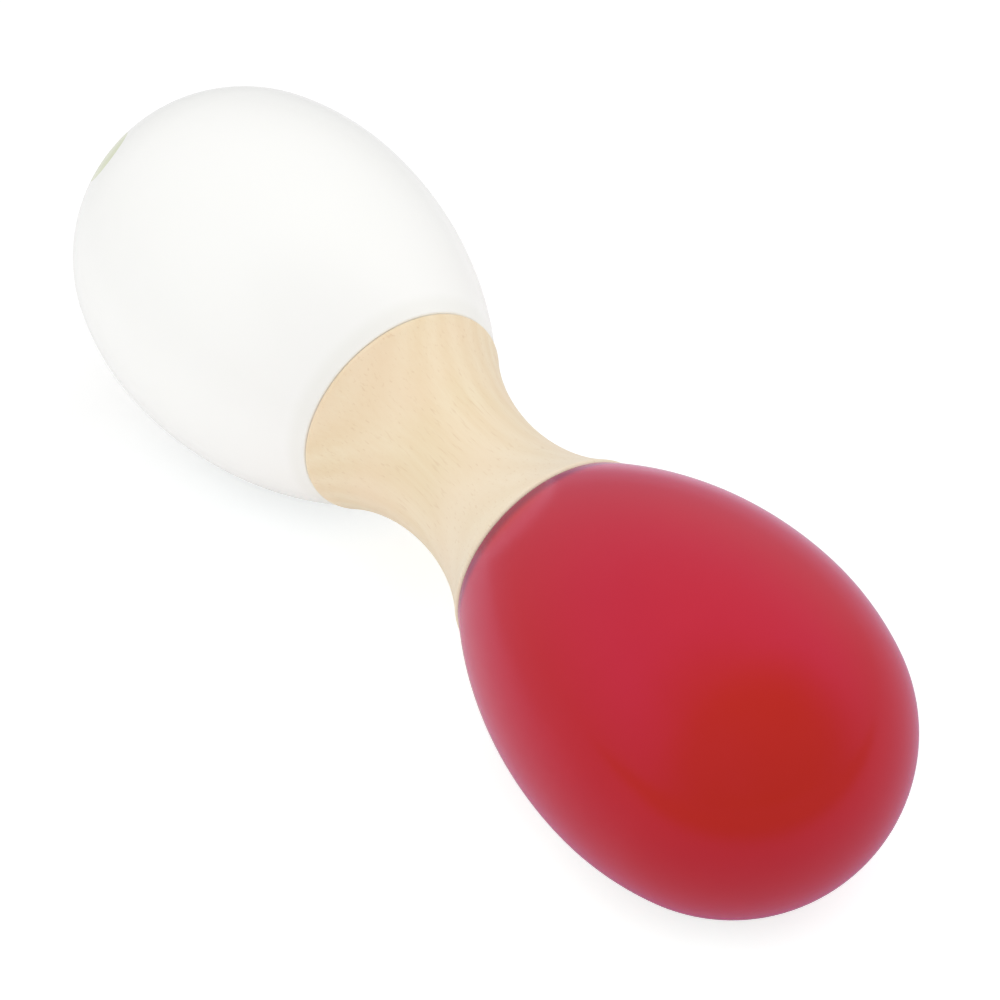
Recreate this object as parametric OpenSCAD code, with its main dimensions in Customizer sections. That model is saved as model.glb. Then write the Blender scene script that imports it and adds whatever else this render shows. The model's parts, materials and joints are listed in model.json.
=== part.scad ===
// Double maraca: two hollow egg heads on a waisted handle, all turned from wood.
// The turning axis lies along X, one head's radius above Z = 0, so the part lies on its side on Z = 0.
// The handle is centred on the origin, with the white head towards -X and the red head towards +X.
// Each head is bored from its neck, and the handle's tenon shuts the pellets into the bore.

/* [Heads] */
// Diameter of a head at its widest circle
head_d = 45; // [40:0.5:52]
// Widest circle to the tip of a head
tip_len = 27.6; // [23:0.1:34]
// How much smaller the tip's radius is than the head's own radius
tip_ease = 0.95; // [0.4:0.05:4]
// Widest circle to the neck face of a head
neck_len = 28.5; // [24:0.5:40]
// Rounding of the neck face's outer edge
neck_edge_r = 0.3; // [0.2:0.1:1.5]

/* [Handle] */
// Length of the handle between its two shoulders
handle_len = 32.4; // [24:0.2:60]
// Diameter of the rim at each shoulder, and of the heads' necks
rim_d = 28.5; // [26:0.1:36]
// Diameter of the waist, where the hand closes round it
waist_d = 19.3; // [12:0.1:25]
// Rounding of the rim's edge
rim_edge_r = 0.5; // [0.2:0.1:1.5]

/* [Tenons and chambers] */
// Diameter of the bore in each head, the same for the socket and the chamber behind it
bore_d = 22; // [16:0.5:24]
// Length of a tenon, which is the depth of the socket
tenon_len = 9; // [5:0.5:12]
// Chamfer on the tenon's end
tenon_chamfer = 0.8; // [0.3:0.1:2]
// Glue gap all round a tenon
glue_gap = 0.1; // [0.05:0.01:0.2]
// Chamfer at the mouth of the bore
mouth_chamfer = 0.6; // [0.2:0.1:1.5]
// Straight length of the chamber past the tenon, before its round end
chamber_len = 27; // [24:0.5:32]

/* [Pellets] */
// Diameter of a pellet
pellet_d = 4.5; // [3:0.1:5]
// Gap between neighbouring pellets
pellet_gap = 0.2; // [0.1:0.05:0.4]
// Gap between a pellet and the chamber wall
wall_gap = 0.2; // [0.1:0.05:0.4]

/* [Hidden] */
$fn = 144;
PELLETS_PER_HEAD = 10;
PELLETS = [1:PELLETS_PER_HEAD];

// How far a cut starts outside the face that it enters
over_cut = 1;
// How far each arc of an outline laps over the wider arc before it, so that they cross cleanly
lap = 0.002;

// Profiles are drawn with the radius to the right and the turning axis upwards.
axis_height = head_d / 2 + lap;
shoulder_pos = handle_len / 2;

// Head outline, measured from its neck face: rounded edge, long flank, shoulder and tip, all tangent
head_r = head_d / 2;
rim_r = rim_d / 2;
head_len = neck_len + tip_len;
flank_r = arc_radius(neck_len, head_r - rim_r);
flank_centre = [head_r - flank_r, neck_len];
tip_r = head_r - tip_ease;
tip_centre = [0, head_len - tip_r];
shoulder_r = (pow(tip_len - tip_r, 2) + pow(head_r, 2) - pow(tip_r, 2)) / (2 * tip_ease);
shoulder_centre = [head_r - shoulder_r, neck_len];
tip_start = beyond(shoulder_centre, tip_centre, shoulder_r);
neck_edge_centre = [
    flank_centre.x + leg(flank_r - neck_edge_r, neck_len - neck_edge_r),
    neck_edge_r
];

// Bore of a head, measured from its neck face
bore_r = bore_d / 2;
bore_straight = tenon_len + chamber_len;

// Handle outline: one hollow arc through the waist, tangent to the rounded rim edges
waist_r = waist_d / 2;
rim_edge_centre = [rim_r - rim_edge_r, shoulder_pos - rim_edge_r];
waist_to_edge = norm(rim_edge_centre - [waist_r, 0]);
waist_arc_r = (pow(waist_to_edge, 2) - pow(rim_edge_r, 2)) / (2 * (rim_r - waist_r));
waist_arc_centre = [waist_r + waist_arc_r, 0];
tenon_r = bore_r - glue_gap;
tenon_end = shoulder_pos + tenon_len;

// Pellets lie in a zigzag of two rows along the chamber's floor, from the tenon to the round end.
pellet_r = pellet_d / 2;
first_pellet = tenon_end + wall_gap + pellet_r;
last_pellet = shoulder_pos + bore_straight;
pellet_step = (last_pellet - first_pellet) / (PELLETS_PER_HEAD - 1);
row_offset = leg(max(pellet_d + pellet_gap, pellet_step), pellet_step) / 2;
pellet_drop = leg(bore_r - pellet_r - wall_gap, row_offset);

// Radius of an arc that falls by sag over a run from its crown
function arc_radius(run, sag) = (run * run + sag * sag) / (2 * sag);

// Second leg of a right-angled triangle
function leg(hypotenuse, other) = sqrt(hypotenuse * hypotenuse - other * other);

// Point at a distance from one point, in the direction of another
function beyond(from, to, distance) = from + distance * (to - from) / norm(to - from);

// Mirror image of a profile point on the other half of the handle
function below(p) = [p.x, -p.y];

// Outer half-profile of an egg head
module egg_profile() {
    // Flank, ending square to its arc where the rounded edge takes over
    flank_end = beyond(flank_centre, neck_edge_centre, flank_r + over_cut);
    outside = head_r + over_cut;
    intersection() {
        translate(flank_centre) circle(flank_r);
        polygon([
            [0, 0],
            [neck_edge_centre.x, 0],
            neck_edge_centre,
            flank_end,
            [outside, flank_end.y],
            [outside, neck_len],
            [0, neck_len]
        ]);
    }
    translate(neck_edge_centre + [0, lap]) circle(neck_edge_r + lap);
    // Shoulder, which starts inside the flank
    intersection() {
        translate(shoulder_centre) circle(shoulder_r + lap);
        translate([0, neck_len / 2]) square([outside, tip_start.y - neck_len / 2]);
    }
    // Tip, which starts inside the shoulder
    intersection() {
        translate(tip_centre) circle(tip_r + 2 * lap);
        translate(tip_centre) square(tip_r + over_cut);
    }
}

// Half-profile of the bore: chamfered mouth, straight wall and round end
module bore_profile() {
    polygon([
        [0, -over_cut],
        [bore_r + mouth_chamfer + over_cut, -over_cut],
        [bore_r, mouth_chamfer],
        [bore_r, bore_straight],
        [0, bore_straight]
    ]);
    intersection() {
        translate([0, bore_straight]) circle(bore_r);
        translate([0, bore_straight]) square(bore_r + over_cut);
    }
}

// Half-profile of the handle with its two tenons
module handle_profile() {
    upper = [
        rim_edge_centre,
        [rim_edge_centre.x, shoulder_pos],
        [tenon_r, shoulder_pos],
        [tenon_r, tenon_end - tenon_chamfer],
        [tenon_r - tenon_chamfer, tenon_end],
        [0, tenon_end]
    ];
    last = len(upper) - 1;
    lower = [for (i = [last:-1:0]) below(upper[i])];
    difference() {
        polygon(concat(lower, [waist_arc_centre], upper));
        translate(waist_arc_centre) circle(waist_arc_r);
    }
    rounding = rim_edge_centre - [0, lap];
    for (centre = [rounding, below(rounding)]) translate(centre) circle(rim_edge_r + lap);
}

// Turns a profile about X and lifts it to the height of the maraca's axis
module turned() {
    translate([0, 0, axis_height]) rotate([0, 90, 0]) rotate_extrude() children();
}

// Bored egg head on the +X end of the handle
module head() {
    turned() translate([0, shoulder_pos]) difference() {
        egg_profile();
        bore_profile();
    }
}

// Pellet i of the head on the +X end
module pellet(i) {
    side = i % 2 == 0 ? 1 : -1;
    along = first_pellet + (i - 1) * pellet_step;
    translate([along, side * row_offset, axis_height - pellet_drop]) sphere(pellet_r);
}

// Puts a +X piece on the -X end
module far_end() {
    rotate([0, 0, 180]) children();
}

module handle() {
    color("burlywood") turned() handle_profile();
}

module white_head() {
    color("white") far_end() head();
}

module red_head() {
    color("crimson") head();
}

module white_pellet(i) {
    color("silver") far_end() pellet(i);
}

module red_pellet(i) {
    color("silver") pellet(i);
}

handle();
white_head();
red_head();
for (i = PELLETS) {
    white_pellet(i);
    red_pellet(i);
}
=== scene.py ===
"""Looks of a double maraca: two gloss-lacquered egg heads on a bare beech handle, lying on white paper.

Metres, in the frame of the part: the turning axis lies along X, white head towards -X, red head towards +X.
"""

import json
import math

import bpy
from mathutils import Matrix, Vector

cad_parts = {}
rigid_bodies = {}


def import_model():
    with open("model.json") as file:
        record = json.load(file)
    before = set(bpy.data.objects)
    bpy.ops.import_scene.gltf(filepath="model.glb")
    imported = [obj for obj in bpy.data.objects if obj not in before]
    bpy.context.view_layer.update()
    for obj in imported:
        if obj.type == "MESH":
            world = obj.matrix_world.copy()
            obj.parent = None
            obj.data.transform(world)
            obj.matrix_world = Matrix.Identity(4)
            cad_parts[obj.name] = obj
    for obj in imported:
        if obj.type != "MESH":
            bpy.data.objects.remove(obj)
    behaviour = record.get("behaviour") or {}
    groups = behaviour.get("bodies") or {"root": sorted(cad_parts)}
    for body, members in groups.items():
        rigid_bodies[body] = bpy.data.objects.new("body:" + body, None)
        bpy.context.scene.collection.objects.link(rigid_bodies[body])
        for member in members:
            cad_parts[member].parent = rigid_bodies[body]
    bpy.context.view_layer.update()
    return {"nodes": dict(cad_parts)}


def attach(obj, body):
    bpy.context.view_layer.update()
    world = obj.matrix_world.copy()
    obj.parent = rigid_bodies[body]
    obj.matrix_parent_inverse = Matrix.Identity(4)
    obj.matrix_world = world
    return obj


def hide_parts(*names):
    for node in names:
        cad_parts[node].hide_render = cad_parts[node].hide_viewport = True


# Blender's own starting objects make way for the part.
for leftover in list(bpy.data.objects):
    bpy.data.objects.remove(leftover)
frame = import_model()
scene = bpy.context.scene

# Sizes of the turned pieces in millimetres, as in the part's source
MM = 0.001
AXIS_HEIGHT = 22.502
HEAD_R = 22.5
TIP_LEN = 27.6
TIP_R = 21.55
NECK_LEN = 28.5
NECK_EDGE_R = 0.3
SHOULDER = 16.2
RIM_R = 14.25
RIM_EDGE_R = 0.5
WAIST_R = 9.65
BORE_R = 11.0
MOUTH_CHAMFER = 0.6
TENON_R = 10.9
TENON_LEN = 9.0
TENON_CHAMFER = 0.8
CHAMBER_LEN = 27.0
PELLETS_PER_HEAD = 10

# Camera, at the photograph's angle, with its distance in metres and its sensor in millimetres.
# HANDLE_AT is the pixel where the middle of the handle shows.
IMAGE = 1000
PIXELS_PER_MM = 8.302
CAMERA_AZIMUTH = math.radians(54.61)
CAMERA_ELEVATION = math.radians(43.80)
CAMERA_DISTANCE = 0.6754
HANDLE_AT = (477.3, 484.8)
SENSOR = 36.0

towards_camera = Vector((
    math.sin(CAMERA_AZIMUTH) * math.cos(CAMERA_ELEVATION),
    -math.cos(CAMERA_AZIMUTH) * math.cos(CAMERA_ELEVATION),
    math.sin(CAMERA_ELEVATION),
))
aim = (-towards_camera).to_track_quat("-Z", "Y")
right = aim @ Vector((1, 0, 0))
up = aim @ Vector((0, 1, 0))
pixel = MM / PIXELS_PER_MM
target = Vector((0, 0, AXIS_HEIGHT * MM))
target += right * (IMAGE / 2 - HANDLE_AT[0]) * pixel
target -= up * (IMAGE / 2 - HANDLE_AT[1]) * pixel

lens = bpy.data.cameras.new("camera")
lens.sensor_width = SENSOR
lens.lens = SENSOR * CAMERA_DISTANCE / (IMAGE * pixel)
camera = bpy.data.objects.new("camera", lens)
camera.rotation_mode = "QUATERNION"
camera.rotation_quaternion = aim
camera.location = target + towards_camera * CAMERA_DISTANCE
scene.collection.objects.link(camera)
scene.camera = camera


def srgb(hex_code):
    """Linear colour of an sRGB hex value."""
    levels = [int(hex_code[i : i + 2], 16) / 255 for i in (1, 3, 5)]
    return tuple(v / 12.92 if v <= 0.04045 else ((v + 0.055) / 1.055) ** 2.4 for v in levels) + (1.0,)


def add(tree, kind, inputs=None, **settings):
    """Adds a shader node. Inputs are values or outputs to link, by socket name or number."""
    made = tree.nodes.new("ShaderNode" + kind)
    for name, value in settings.items():
        setattr(made, name, value)
    for socket, value in (inputs or {}).items():
        if isinstance(value, bpy.types.NodeSocket):
            tree.links.new(value, made.inputs[socket])
        else:
            made.inputs[socket].default_value = value
    return made


def new_material(name):
    """An empty material: its node tree, and the part's own coordinates in millimetres."""
    material = bpy.data.materials.new(name)
    material.use_nodes = True
    tree = material.node_tree
    tree.nodes.clear()
    place = add(tree, "TexCoord").outputs["Object"]
    in_mm = add(tree, "VectorMath", {0: place, "Scale": 1 / MM}, operation="SCALE").outputs[0]
    return material, tree, in_mm


def along_grain(tree, in_mm, size):
    """Coordinates in which a pattern of size 1 has that length along X and that width across it, in mm."""
    length, width = size
    return add(tree, "VectorMath", {
        0: in_mm, 1: (1 / length, 1 / width, 1 / width),
    }, operation="MULTIPLY").outputs[0]


# Beech, turned, sanded and sealed with a satin clear coat. It is pale, with soft growth rings along the axis,
# silky lengthwise streaks, warm patches and short darker flecks. A painted highlight makes it paler towards
# the red head.
# Flecks have their real size. Rings are drawn wider than the real 1 to 2 mm, and streaks wider than the pores
# of about 0.1 mm that they stand for, so that they show.
RING_MM = 2.6
PITH_MM = (0.0, 41.0, -19.0)
RING_STRETCH = (0.12, 1.0, 1.0)
# What a wave texture of scale 1 runs through in one unit
WAVE_RADIANS = 20
STREAK_MM = (16.0, 0.55)
STREAK_SHARE = 0.7
GRAIN_TONES = ((0.2, "#EAD4AE"), (0.8, "#F1E1C2"))
PATCH_MM = 11.0
PATCH_RANGE = (0.35, 0.7)
PATCH_SHARE = 0.6
PATCH_TONE = "#F1D9BA"
# Painted highlight: where along the axis the handle turns paler towards the red head, how much, and its tone
PAINTED_LIGHT_MM = (-5.0, 20.0)
PAINTED_LIGHT_SHARE = 0.5
PAINTED_LIGHT_TONE = "#F2E6D4"
FLECK_MM = (2.4, 0.3)
FLECK_RANGE = (0.62, 0.78)
FLECK_SHARE = 0.25
FLECK_TONE = "#CDA678"
SATIN_ROUGHNESS = (0.36, 0.5)
STREAK_RELIEF_MM = 0.04

beech, tree, in_mm = new_material("beech_turned_satin")
from_pith = add(tree, "VectorMath", {0: in_mm, 1: PITH_MM}, operation="SUBTRACT").outputs[0]
stretched = add(tree, "VectorMath", {0: from_pith, 1: RING_STRETCH}, operation="MULTIPLY").outputs[0]
rings = add(tree, "TexWave", {
    "Vector": stretched, "Scale": 2 * math.pi / WAVE_RADIANS / RING_MM,
    "Distortion": 1.6, "Detail": 2.0, "Detail Scale": 0.35,
}, wave_type="RINGS", rings_direction="X").outputs["Fac"]
streaks = add(tree, "TexNoise", {
    "Vector": along_grain(tree, in_mm, STREAK_MM), "Scale": 1.0, "Detail": 4.0, "Roughness": 0.6,
}).outputs["Fac"]
grain = add(tree, "MixRGB", {0: STREAK_SHARE, 1: rings, 2: streaks}).outputs[0]
wood_tone = add(tree, "ValToRGB", {"Fac": grain})
for element, (place, tone) in zip(wood_tone.color_ramp.elements, GRAIN_TONES):
    element.position = place
    element.color = srgb(tone)
patches = add(tree, "TexNoise", {"Vector": in_mm, "Scale": 1 / PATCH_MM, "Detail": 1.0}).outputs["Fac"]
warming = add(tree, "MapRange", {
    "Value": patches, "From Min": PATCH_RANGE[0], "From Max": PATCH_RANGE[1], "To Max": PATCH_SHARE,
}).outputs["Result"]
warmed = add(tree, "MixRGB", {0: warming, 1: wood_tone.outputs[0], 2: srgb(PATCH_TONE)}).outputs[0]
along = add(tree, "SeparateXYZ", {0: in_mm}).outputs["X"]
# Painted highlight: the wood is lightened towards the red head
painted_light = add(tree, "MapRange", {
    "Value": along, "From Min": PAINTED_LIGHT_MM[0], "From Max": PAINTED_LIGHT_MM[1], "To Max": PAINTED_LIGHT_SHARE,
}, interpolation_type="SMOOTHSTEP").outputs["Result"]
painted_lit = add(tree, "MixRGB", {0: painted_light, 1: warmed, 2: srgb(PAINTED_LIGHT_TONE)}).outputs[0]
fleck_noise = add(tree, "TexNoise", {
    "Vector": along_grain(tree, in_mm, FLECK_MM), "Scale": 1.0, "Detail": 1.0,
}).outputs["Fac"]
flecks = add(tree, "MapRange", {
    "Value": fleck_noise, "From Min": FLECK_RANGE[0], "From Max": FLECK_RANGE[1], "To Max": FLECK_SHARE,
}).outputs["Result"]
flecked = add(tree, "MixRGB", {0: flecks, 1: painted_lit, 2: srgb(FLECK_TONE)}).outputs[0]
satin = add(tree, "MapRange", {
    "Value": streaks, "To Min": SATIN_ROUGHNESS[0], "To Max": SATIN_ROUGHNESS[1],
}).outputs["Result"]
relief = add(tree, "Bump", {
    "Height": streaks, "Strength": 0.12, "Distance": STREAK_RELIEF_MM * MM,
}).outputs["Normal"]
wood = add(tree, "BsdfPrincipled", {
    "Base Color": flecked, "Roughness": satin, "Normal": relief, "Coat Weight": 0.15, "Coat Roughness": 0.3,
    "Sheen Weight": 0.06, "Sheen Roughness": 0.5,
})
add(tree, "OutputMaterial", {"Surface": wood.outputs[0]})

# Lacquer on the heads. Orange peel is drawn at its real 1.6 mm. The grain that shows through is drawn at
# 0.9 mm, a little wider than it is.
CLOUD_MM = 9.0
# Painted shade along the neck's edge, where the head meets the handle: full up to the first distance, gone at
# the second
NECK_SHADE_MM = (0.9, 2.6)
PEEL_MM = 1.6
GRAIN_BELOW_MM = (14.0, 0.9)
GRAIN_BELOW_SHARE = 0.4
LACQUER_RELIEF_MM = 0.1
LACQUER_ROUGHNESS = (0.13, 0.2)
LACQUER_IOR = 1.56
BLOOM_ROUGHNESS = 0.4
SPOT_AT_MM = (-65.6, -10.35, 34.2)
SPOT_R_MM = 3.9
SPOT_EDGE_MM = 0.1


def lacquer(name, colour, mottle, neck_shade_colour, mirror_tint, bloom, spot_colour=None):
    """Gloss lacquer, sprayed on turned beech and cured. It levels to a wet-looking gloss with a faint orange
    peel and a pale bloom at the rim, and lets the grain below show a little. Painted shade darkens it in a
    line along the neck's edge, where the head meets the handle."""
    material, tree, in_mm = new_material(name)
    cloud = add(tree, "TexNoise", {"Vector": in_mm, "Scale": 1 / CLOUD_MM, "Detail": 3.0}).outputs["Fac"]
    base = add(tree, "MixRGB", {0: cloud, 1: srgb(colour), 2: srgb(mottle)}).outputs[0]
    if spot_colour:
        from_spot = add(tree, "VectorMath", {0: in_mm, 1: SPOT_AT_MM}, operation="DISTANCE").outputs["Value"]
        inside = add(tree, "MapRange", {
            "Value": from_spot, "From Min": SPOT_R_MM - SPOT_EDGE_MM, "From Max": SPOT_R_MM,
            "To Min": 1.0, "To Max": 0.0,
        }).outputs["Result"]
        base = add(tree, "MixRGB", {0: inside, 1: base, 2: srgb(spot_colour)}).outputs[0]
    along = add(tree, "SeparateXYZ", {0: in_mm}).outputs["X"]
    from_middle = add(tree, "Math", {0: along}, operation="ABSOLUTE").outputs[0]
    # Painted shade: a darker line along the neck's edge, where the head meets the handle
    neck_shade = add(tree, "MapRange", {
        "Value": from_middle, "From Min": SHOULDER + NECK_SHADE_MM[0], "From Max": SHOULDER + NECK_SHADE_MM[1],
        "To Min": 1.0, "To Max": 0.0,
    }, interpolation_type="SMOOTHSTEP").outputs["Result"]
    base = add(tree, "MixRGB", {0: neck_shade, 1: base, 2: srgb(neck_shade_colour)}).outputs[0]
    gloss = add(tree, "MapRange", {
        "Value": cloud, "To Min": LACQUER_ROUGHNESS[0], "To Max": LACQUER_ROUGHNESS[1],
    }).outputs["Result"]
    peel = add(tree, "TexNoise", {"Vector": in_mm, "Scale": 1 / PEEL_MM, "Detail": 1.0}).outputs["Fac"]
    grain_below = add(tree, "TexNoise", {
        "Vector": along_grain(tree, in_mm, GRAIN_BELOW_MM), "Scale": 1.0, "Detail": 2.0,
    }).outputs["Fac"]
    surface = add(tree, "MixRGB", {0: GRAIN_BELOW_SHARE, 1: peel, 2: grain_below}).outputs[0]
    relief = add(tree, "Bump", {
        "Height": surface, "Strength": 0.05, "Distance": LACQUER_RELIEF_MM * MM,
    }).outputs["Normal"]
    coat = add(tree, "BsdfPrincipled", {
        "Base Color": base, "Roughness": gloss, "Normal": relief, "IOR": LACQUER_IOR,
        "Specular Tint": srgb(mirror_tint),
        "Sheen Weight": bloom, "Sheen Roughness": BLOOM_ROUGHNESS, "Sheen Tint": srgb(mirror_tint),
    })
    add(tree, "OutputMaterial", {"Surface": coat.outputs[0]})
    return material


# The red shows rose where it mirrors white, and a warmer red where it mirrors the dark side of the room.
# Each head's neck colour is painted shade, for the line where the head meets the handle.
red_lacquer = lacquer(
    "red_gloss_lacquer", colour="#BA2C16", mottle="#BE2F1A", neck_shade_colour="#86180C", mirror_tint="#FF40FF",
    bloom=0.2,
)
# The white head has one plain pale green spot, printed near its tip.
white_lacquer = lacquer(
    "white_gloss_lacquer", colour="#F8F8F6", mottle="#F7F7F4", neck_shade_colour="#F3F3EF", mirror_tint="#FFFFFF",
    bloom=0.4, spot_colour="#D4DAB4",
)

# Steel balls, tumbled bright: a soft metallic shine with fine scuffs from knocking together, which are drawn
# coarser than the real 0.1 mm, so that they show
SCUFF_MM = 0.4
STEEL_ROUGHNESS = (0.18, 0.4)
STEEL_BRIGHT = "#C2C3C6"
STEEL_SCUFFED = "#A9AAAD"

steel, tree, in_mm = new_material("steel_tumbled_bright")
scuffs = add(tree, "TexNoise", {"Vector": in_mm, "Scale": 1 / SCUFF_MM, "Detail": 3.0}).outputs["Fac"]
dull = add(tree, "MapRange", {
    "Value": scuffs, "To Min": STEEL_ROUGHNESS[0], "To Max": STEEL_ROUGHNESS[1],
}).outputs["Result"]
scuffed = add(tree, "MixRGB", {0: scuffs, 1: srgb(STEEL_BRIGHT), 2: srgb(STEEL_SCUFFED)}).outputs[0]
ball = add(tree, "BsdfPrincipled", {"Base Color": scuffed, "Metallic": 1.0, "Roughness": dull})
add(tree, "OutputMaterial", {"Surface": ball.outputs[0]})

# Steps in each stretch of the turned outlines, and round the axis
FACE_STEPS = 4
EDGE_STEPS = 8
FLANK_STEPS = 48
SHOULDER_STEPS = 20
TIP_STEPS = 56
BORE_STEPS = 12
BORE_END_STEPS = 24
CHAMFER_STEPS = 2
WAIST_STEPS = 40
RIM_STEPS = 12
TENON_STEPS = 6
TENON_END_STEPS = 8
TURNED_SIDES = 192
# Outline points that agree to this many digits are one place, and points this near the axis lie on it.
PLACE_DIGITS = 5
ON_AXIS = 1e-6
# Edges that turn by more than this stay sharp.
CREASE = math.radians(35)
RIGHT_ANGLE = math.pi / 2


def arc(centre, radius, start, end, count):
    """Points (along, out) of an arc, its angles counted from the axis outwards."""
    steps = [start + (end - start) * i / count for i in range(count + 1)]
    return [(centre[0] + radius * math.cos(a), centre[1] + radius * math.sin(a)) for a in steps]


def angle_of(centre, point):
    """Angle at which a point lies from a centre, counted from the axis outwards."""
    return math.atan2(point[1] - centre[1], point[0] - centre[0])


def straight(start, end, count):
    """Points of a straight stretch, both ends among them."""
    run = end[0] - start[0]
    rise = end[1] - start[1]
    return [(start[0] + run * i / count, start[1] + rise * i / count) for i in range(count + 1)]


def head_outlines():
    """A head's lacquered outside, from its bore's mouth to its tip, and its bare bore, back to the mouth."""
    widest = SHOULDER + NECK_LEN
    sag = HEAD_R - RIM_R
    flank_r = (NECK_LEN**2 + sag**2) / (2 * sag)
    flank_centre = (widest, HEAD_R - flank_r)
    edge_along = SHOULDER + NECK_EDGE_R
    edge_out = flank_centre[1] + math.sqrt((flank_r - NECK_EDGE_R) ** 2 - (widest - edge_along) ** 2)
    edge_centre = (edge_along, edge_out)
    flank_start = angle_of(flank_centre, edge_centre)
    tip_ease = HEAD_R - TIP_R
    shoulder_r = ((TIP_LEN - TIP_R) ** 2 + HEAD_R**2 - TIP_R**2) / (2 * tip_ease)
    shoulder_centre = (widest, HEAD_R - shoulder_r)
    tip_centre = (widest + TIP_LEN - TIP_R, 0.0)
    tip_start = angle_of(shoulder_centre, tip_centre)
    mouth = (SHOULDER, BORE_R + MOUTH_CHAMFER)
    outside = straight(mouth, (SHOULDER, edge_out), FACE_STEPS)
    outside += arc(edge_centre, NECK_EDGE_R, math.pi, flank_start, EDGE_STEPS)[1:]
    outside += arc(flank_centre, flank_r, flank_start, RIGHT_ANGLE, FLANK_STEPS)[1:]
    outside += arc(shoulder_centre, shoulder_r, RIGHT_ANGLE, tip_start, SHOULDER_STEPS)[1:]
    outside += arc(tip_centre, TIP_R, tip_start, 0.0, TIP_STEPS)[1:]
    bore_end = (SHOULDER + TENON_LEN + CHAMBER_LEN, 0.0)
    chamfer_end = (SHOULDER + MOUTH_CHAMFER, BORE_R)
    inside = arc(bore_end, BORE_R, 0.0, RIGHT_ANGLE, BORE_END_STEPS)
    inside += straight((bore_end[0], BORE_R), chamfer_end, BORE_STEPS)[1:]
    inside += straight(chamfer_end, mouth, CHAMFER_STEPS)[1:]
    return outside, inside


def handle_outline():
    """The handle's outline from the end of one tenon to the end of the other."""
    edge_centre = (SHOULDER - RIM_EDGE_R, RIM_R - RIM_EDGE_R)
    reach = math.hypot(edge_centre[0], edge_centre[1] - WAIST_R)
    waist_arc_r = (reach**2 - RIM_EDGE_R**2) / (2 * (RIM_R - WAIST_R))
    waist_centre = (0.0, WAIST_R + waist_arc_r)
    waist_end = angle_of(waist_centre, edge_centre)
    edge_start = angle_of(edge_centre, waist_centre)
    tenon_end = SHOULDER + TENON_LEN
    chamfer_start = (tenon_end - TENON_CHAMFER, TENON_R)
    chamfer_end = (tenon_end, TENON_R - TENON_CHAMFER)
    half = arc(waist_centre, waist_arc_r, -RIGHT_ANGLE, waist_end, WAIST_STEPS)
    half += arc(edge_centre, RIM_EDGE_R, edge_start, 0.0, RIM_STEPS)[1:]
    half += straight((SHOULDER, edge_centre[1]), (SHOULDER, TENON_R), FACE_STEPS)
    half += straight((SHOULDER, TENON_R), chamfer_start, TENON_STEPS)[1:]
    half += straight(chamfer_start, chamfer_end, CHAMFER_STEPS)[1:]
    half += straight(chamfer_end, (tenon_end, 0.0), TENON_END_STEPS)[1:]
    other = [(-along, out) for along, out in half[:0:-1]]
    return other + half


def turn(name, outlines, materials, side):
    """Turns outlines about the maraca's axis into one closed skin, one material for each outline.
    Side is 1 for the +X end and -1 for the other end, which is the same piece turned half round in plan."""
    corners, faces, finishes = [], [], []
    places = {}

    def ring(point):
        along, out = point
        key = (round(along, PLACE_DIGITS), round(out, PLACE_DIGITS))
        if key not in places:
            sides = 1 if out < ON_AXIS else TURNED_SIDES
            first = len(corners)
            for i in range(sides):
                turn_angle = 2 * math.pi * i / TURNED_SIDES
                across, above = out * math.cos(turn_angle), out * math.sin(turn_angle)
                corners.append((side * along * MM, side * across * MM, (AXIS_HEIGHT + above) * MM))
            places[key] = [first + i % sides for i in range(TURNED_SIDES)]
        return places[key]

    for finish, outline in enumerate(outlines):
        for start, end in zip(outline, outline[1:]):
            low, high = ring(start), ring(end)
            if low is high:
                continue
            for i in range(TURNED_SIDES):
                j = (i + 1) % TURNED_SIDES
                face = [low[i], high[i], high[j], low[j]]
                faces.append([c for k, c in enumerate(face) if c not in face[:k]])
                finishes.append(finish)
    mesh = bpy.data.meshes.new(name)
    mesh.from_pydata(corners, [], faces)
    for material in materials:
        mesh.materials.append(material)
    mesh.polygons.foreach_set("material_index", finishes)
    mesh.shade_smooth()
    mesh.set_sharp_from_angle(angle=CREASE)
    mesh.validate()
    piece = bpy.data.objects.new(name, mesh)
    scene.collection.objects.link(piece)
    return piece


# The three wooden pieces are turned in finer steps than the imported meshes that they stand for.
for node, outlines, materials, side, slot in (
    ("white_head", head_outlines(), [white_lacquer, beech], -1, "white_lacquer"),
    ("red_head", head_outlines(), [red_lacquer, beech], 1, "red_lacquer"),
    ("handle", [handle_outline()], [beech], 1, "bare_wood"),
):
    piece = turn(node + "_turned", outlines, materials, side)
    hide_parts(node)
    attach(piece, "wooden_body")

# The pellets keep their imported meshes, in steel.
for i in range(1, PELLETS_PER_HEAD + 1):
    for head in ("white", "red"):
        finishes = frame["nodes"][f"{head}_pellet_{i}"].data.materials
        finishes.clear()
        finishes.append(steel)


def rays_in(tree):
    """Marks the rays that the camera sends, straight or through glass, and those that gloss sends."""
    ray = add(tree, "LightPath").outputs
    seen = add(tree, "Math", {
        0: ray["Is Camera Ray"], 1: ray["Is Transmission Ray"],
    }, operation="MAXIMUM").outputs[0]
    return seen, ray["Is Glossy Ray"]


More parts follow.
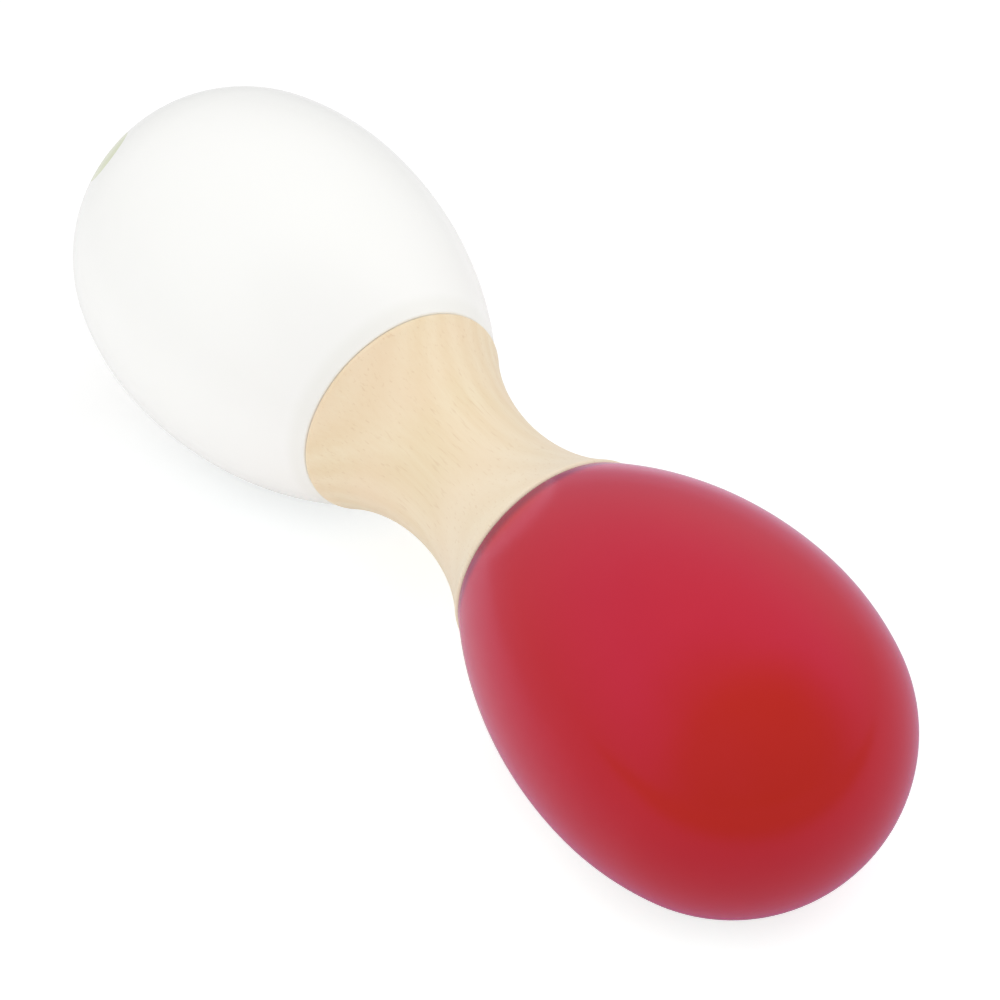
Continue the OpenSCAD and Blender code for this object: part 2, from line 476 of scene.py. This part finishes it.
# White matt paper under the maraca, shaded below it. The camera sees it lifted to white, most of all in a
# soft pool round the red head, whose cool tone balances the red that the head throws on the paper.
# It glows a little by itself, as paper on a light table does. Towards the red head it runs out of the light
# tent, so what it sends back to the maraca fades there. Gloss sees it dimmer, least so round the white head.
FLOOR_HALF_M = 3.0
PAPER = "#F6F6F6"
PAPER_GLOW = 0.1
LIFT_AT_MM = (50.0, -20.0, 0.0)
LIFT_EDGE_MM = (15.0, 110.0)
LIFT_STEPS = ((0.0, "#AEC8C6"), (0.4, "#959EA2"), (1.0, "#5A5A5A"))
TENT_OPENING = (0.9, -0.4, 0.0)
TENT_EDGE_MM = (30.0, 170.0)
TENT_FADE = 0.85
POOL_AT_MM = (-50.0, 0.0, 0.0)
POOL_EDGE_MM = (40.0, 130.0)
MIRRORED_FADE = (0.26, 0.53)

floor_mesh = bpy.data.meshes.new("floor")
corner_signs = ((-1, -1), (1, -1), (1, 1), (-1, 1))
floor_corners = [(x * FLOOR_HALF_M, y * FLOOR_HALF_M, 0) for x, y in corner_signs]
floor_mesh.from_pydata(floor_corners, [], [(0, 1, 2, 3)])
floor = bpy.data.objects.new("floor", floor_mesh)
scene.collection.objects.link(floor)
paper, tree, in_mm = new_material("white_paper_matt")
floor_mesh.materials.append(paper)
seen, mirrored = rays_in(tree)
from_lift = add(tree, "VectorMath", {0: in_mm, 1: LIFT_AT_MM}, operation="DISTANCE").outputs["Value"]
lift_place = add(tree, "MapRange", {
    "Value": from_lift, "From Min": LIFT_EDGE_MM[0], "From Max": LIFT_EDGE_MM[1],
}).outputs["Result"]
seen_lift = add(tree, "ValToRGB", {"Fac": lift_place})
seen_lift.color_ramp.elements.new(LIFT_STEPS[1][0])
for element, (place, tone) in zip(seen_lift.color_ramp.elements, LIFT_STEPS):
    element.position = place
    element.color = srgb(tone)
lift = add(tree, "MixRGB", {
    0: seen, 1: (PAPER_GLOW, PAPER_GLOW, PAPER_GLOW, 1.0), 2: seen_lift.outputs[0],
}).outputs[0]
matt = add(tree, "BsdfDiffuse", {"Color": srgb(PAPER)}).outputs[0]
glow = add(tree, "Emission", {"Color": lift}).outputs[0]
bright = add(tree, "AddShader", {0: matt, 1: glow}).outputs[0]
outwards = add(tree, "VectorMath", {0: in_mm, 1: TENT_OPENING}, operation="DOT_PRODUCT").outputs["Value"]
tent_fade = add(tree, "MapRange", {
    "Value": outwards, "From Min": TENT_EDGE_MM[0], "From Max": TENT_EDGE_MM[1], "To Max": TENT_FADE,
}, interpolation_type="SMOOTHSTEP").outputs["Result"]
from_pool = add(tree, "VectorMath", {0: in_mm, 1: POOL_AT_MM}, operation="DISTANCE").outputs["Value"]
pool_fade = add(tree, "MapRange", {
    "Value": from_pool, "From Min": POOL_EDGE_MM[0], "From Max": POOL_EDGE_MM[1],
    "To Min": MIRRORED_FADE[0], "To Max": MIRRORED_FADE[1],
}, interpolation_type="SMOOTHSTEP").outputs["Result"]
mirrored_fade = add(tree, "Math", {0: mirrored, 1: pool_fade}, operation="MULTIPLY").outputs[0]
fade = add(tree, "Math", {0: tent_fade, 1: mirrored_fade}, operation="MAXIMUM").outputs[0]
unseen = add(tree, "Math", {0: 1.0, 1: seen}, operation="SUBTRACT").outputs[0]
dim = add(tree, "Math", {0: fade, 1: unseen}, operation="MULTIPLY").outputs[0]
dark = add(tree, "Emission", {"Strength": 0.0}).outputs[0]
faded = add(tree, "MixShader", {0: dim, 1: bright, 2: dark})
add(tree, "OutputMaterial", {"Surface": faded.outputs[0]})

# A light tent, a little brighter on its window side. Gloss sees it darker towards the floor, and sees a dark
# room through its opening in front of the red head. Places on it are unit directions, so an edge is a cosine
# and the top a height between 0 and 1.
WINDOW_SIDE = Vector((0.58, 0.81, 0.0)).normalized()
WINDOW_EDGE = (0.0, 0.9)
TENT_LIGHT = (0.98, 1.13)
TENT_TOP = 0.6
MIRRORED_TENT = (0.45, 0.88)
FRONT = Vector((0.82, -0.28, 0.5)).normalized()
OPENING_EDGE = (0.2, 0.87)
OPENING_LEVEL = 0.05

world = bpy.data.worlds.new("light_tent")
scene.world = world
world.use_nodes = True
tree = world.node_tree
tree.nodes.clear()
seen, mirrored = rays_in(tree)
direction = add(tree, "TexCoord").outputs["Generated"]
beside = add(tree, "VectorMath", {0: direction, 1: WINDOW_SIDE}, operation="DOT_PRODUCT").outputs["Value"]
lighting = add(tree, "MapRange", {
    "Value": beside, "From Min": WINDOW_EDGE[0], "From Max": WINDOW_EDGE[1],
    "To Min": TENT_LIGHT[0], "To Max": TENT_LIGHT[1],
}, interpolation_type="SMOOTHSTEP").outputs["Result"]
height = add(tree, "SeparateXYZ", {0: direction}).outputs["Z"]
overhead = add(tree, "MapRange", {
    "Value": height, "From Max": TENT_TOP, "To Min": MIRRORED_TENT[0], "To Max": MIRRORED_TENT[1],
}).outputs["Result"]
facing = add(tree, "VectorMath", {0: direction, 1: FRONT}, operation="DOT_PRODUCT").outputs["Value"]
opening = add(tree, "MapRange", {
    "Value": facing, "From Min": OPENING_EDGE[0], "From Max": OPENING_EDGE[1],
    "To Min": 1.0, "To Max": OPENING_LEVEL,
}, interpolation_type="SMOOTHSTEP").outputs["Result"]
reflection = add(tree, "Math", {0: overhead, 1: opening}, operation="MULTIPLY").outputs[0]
level = add(tree, "Mix", {"Factor": mirrored, "A": lighting, "B": reflection}).outputs[0]
level = add(tree, "Mix", {"Factor": seen, "A": level, "B": 1.0}).outputs[0]
sky = add(tree, "Background", {"Color": srgb("#FFFFFF"), "Strength": level})
add(tree, "OutputWorld", {"Surface": sky.outputs[0]})

# One wide softbox, low on the camera's side. It fills the near flanks, and gloss doesn't mirror it.
SOFTBOX_FROM = Vector((0.45, -0.75, 0.4))
SOFTBOX_ENERGY = 0.32
SOFTBOX_ANGLE = math.radians(70)

softbox = bpy.data.lights.new("front_softbox", "SUN")
softbox.energy = SOFTBOX_ENERGY
softbox.angle = SOFTBOX_ANGLE
lamp = bpy.data.objects.new("front_softbox", softbox)
lamp.rotation_mode = "QUATERNION"
lamp.rotation_quaternion = SOFTBOX_FROM.to_track_quat("Z", "Y")
lamp.visible_glossy = False
scene.collection.objects.link(lamp)

scene.view_settings.view_transform = "Standard"
